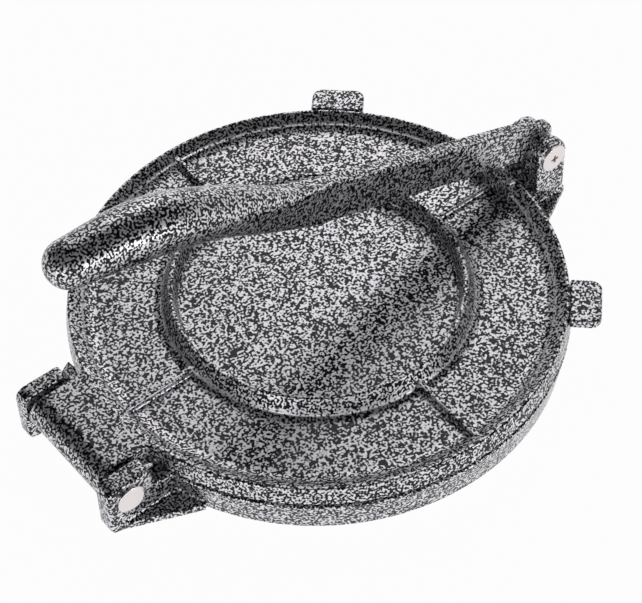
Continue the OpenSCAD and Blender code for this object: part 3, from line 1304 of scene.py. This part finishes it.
@dataclass
class Studio:
    """Camera, lamps, floor and world."""

    eye: tuple[float, float, float] = (-0.26680, -0.35105, 0.52573)
    right: tuple[float, float, float] = (0.77773678, -0.62813824, -0.02382964)
    up: tuple[float, float, float] = (0.48912678, 0.58093671, 0.65059014)
    back: tuple[float, float, float] = (-0.39481704, -0.51764359, 0.75905508)
    focal_px: float = 2108.4
    picture_w: int = 642
    sensor: float = 36.0
    target: tuple[float, float, float] = (0.0, 0.0, 0.03)
    ceiling: float = 0.06
    horizon: float = 0.08
    fill: float = 0.4
    fade: float = 0.14
    paper: float = 0.975
    floor_half: float = 6.0
    floor_drop: float = 0.0002
    backdrop: tuple[float, float, float] = (0.40, 0.30, 0.0)
    lamps: list[Lamp] = field(
        default_factory=lambda: [
            Lamp("window", (0.640, 0.695, 0.925), (0.75, 0.76), 2.8),
            Lamp("spark", (0.45, -1.17, 0.25), (0.16, 0.12), 2.4),
            Lamp("strip", (-0.88, -0.95, 0.40), (2.40, 0.11), 3.2),
            Lamp("corner", (-1.05, -0.50, 0.16), (0.20, 0.18), 0.9),
        ]
    )

    def camera(self) -> None:
        """Places the camera."""
        data = bpy.data.cameras.new("camera")
        data.sensor_fit = "HORIZONTAL"
        data.sensor_width = self.sensor
        data.lens = self.focal_px * self.sensor / self.picture_w
        data.clip_start, data.clip_end = 0.01, 20.0
        camera = bpy.data.objects.new("camera", data)
        axes = Matrix((self.right, self.up, self.back)).transposed().to_4x4()
        camera.matrix_world = Matrix.Translation(self.eye) @ axes
        bpy.context.scene.collection.objects.link(camera)
        bpy.context.scene.camera = camera

    def seen_white(self, tree: bpy.types.NodeTree) -> bpy.types.NodeSocket:
        """Factor that is 1 for rays that see the background straight or mirrored.

        Args:
            tree: Node tree of the floor or the world.

        Returns:
            The factor's socket.
        """
        path = add_node(tree, "ShaderNodeLightPath").outputs
        mirrored = reckon(tree, "MAXIMUM", path["Is Glossy Ray"], path["Is Transmission Ray"])
        return reckon(tree, "MAXIMUM", path["Is Camera Ray"], mirrored)

    def floor(self) -> None:
        """Makes the white floor, which keeps a faint shadow of the press."""
        bm = bmesh.new()
        bmesh.ops.create_grid(bm, x_segments=1, y_segments=1, size=self.floor_half)
        data = bpy.data.meshes.new("floor")
        bm.to_mesh(data)
        bm.free()
        floor = bpy.data.objects.new("floor", data)
        floor.location.z = -self.floor_drop
        bpy.context.scene.collection.objects.link(floor)
        material, tree = new_material("white_paper")
        white = linear("#ffffff")
        paper = add_node(tree, "ShaderNodeBsdfDiffuse", Color=linear("#e8e8e8")).outputs["BSDF"]
        glow = add_node(tree, "ShaderNodeEmission", Color=white, Strength=1.0).outputs["Emission"]
        part = reckon(tree, "MULTIPLY", self.seen_white(tree), self.paper)
        mix = add_node(tree, "ShaderNodeMixShader", i0=part, i1=paper, i2=glow)
        add_node(tree, "ShaderNodeOutputMaterial", Surface=mix.outputs["Shader"])
        data.materials.append(material)

    def world(self) -> None:
        """Makes the world: white where it is seen, dimmer where it lights the press."""
        world = bpy.data.worlds.new("studio")
        world.use_nodes = True
        tree = world.node_tree
        tree.nodes.clear()
        way = add_node(tree, "ShaderNodeTexCoord").outputs["Generated"]
        up = add_node(tree, "ShaderNodeSeparateXYZ", Vector=way).outputs["Z"]
        # The white backdrop climbs highest behind the press and stays low in front of it.
        behind = reckon(tree, "DOT_PRODUCT", way, self.backdrop, vector=True)
        limit = reckon(tree, "MAXIMUM", behind, self.horizon)
        over = reckon(tree, "SUBTRACT", up, limit)
        fade = add_node(
            tree, "ShaderNodeMapRange", Value=over, From_Min=0.0, From_Max=self.fade,
            To_Min=1.0, To_Max=self.ceiling,
        ).outputs["Result"]
        part = add_node(
            tree, "ShaderNodeMapRange", Value=self.seen_white(tree), To_Min=self.fill, To_Max=1.0
        ).outputs["Result"]
        strength = reckon(tree, "MULTIPLY", fade, part)
        sky = add_node(tree, "ShaderNodeBackground", Color=linear("#ffffff"), Strength=strength)
        add_node(tree, "ShaderNodeOutputWorld", Surface=sky.outputs["Background"])
        bpy.context.scene.world = world

    def build(self) -> None:
        """Sets up the whole studio."""
        bpy.context.scene.view_settings.view_transform = "Standard"
        self.camera()
        self.floor()
        self.world()
        for lamp in self.lamps:
            lamp.build(Vector(self.target))


def main() -> None:
    """Builds the press and its studio in order."""
    logging.basicConfig(level=logging.INFO, format="%(name)s: %(message)s")
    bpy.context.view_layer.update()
    layout = Layout()
    LowerPlate(layout, Hammertone("hammertone_enamel_lower")).build()
    # The upper plate's enamel carries painted highlights along the ring's outer foot, the rim's inner foot
    # and the X ribs.
    with_painted_highlights = Hammertone("hammertone_enamel_upper_painted_highlights", painted_highlight_rings=(50.15, 75.35), painted_highlight_rib=1.0)
    UpperPlate(layout, with_painted_highlights).build()
    Lever(layout, Hammertone("hammertone_enamel_lever", flake=0.8)).build()
    steel = PlatedSteel().material()
    lugs, ears = (layout.lug_near[1], layout.lug_far[1]), (layout.ear_out, layout.ear_out)
    PivotPin("hinge_pin", "hinge_pin_screw", layout.hinge, lugs, -1, steel).build()
    PivotPin("handle_pin", "handle_pin_screw", layout.pivot, ears, 1, steel).build()
    Studio().build()


if __name__ == "__main__":
    main()
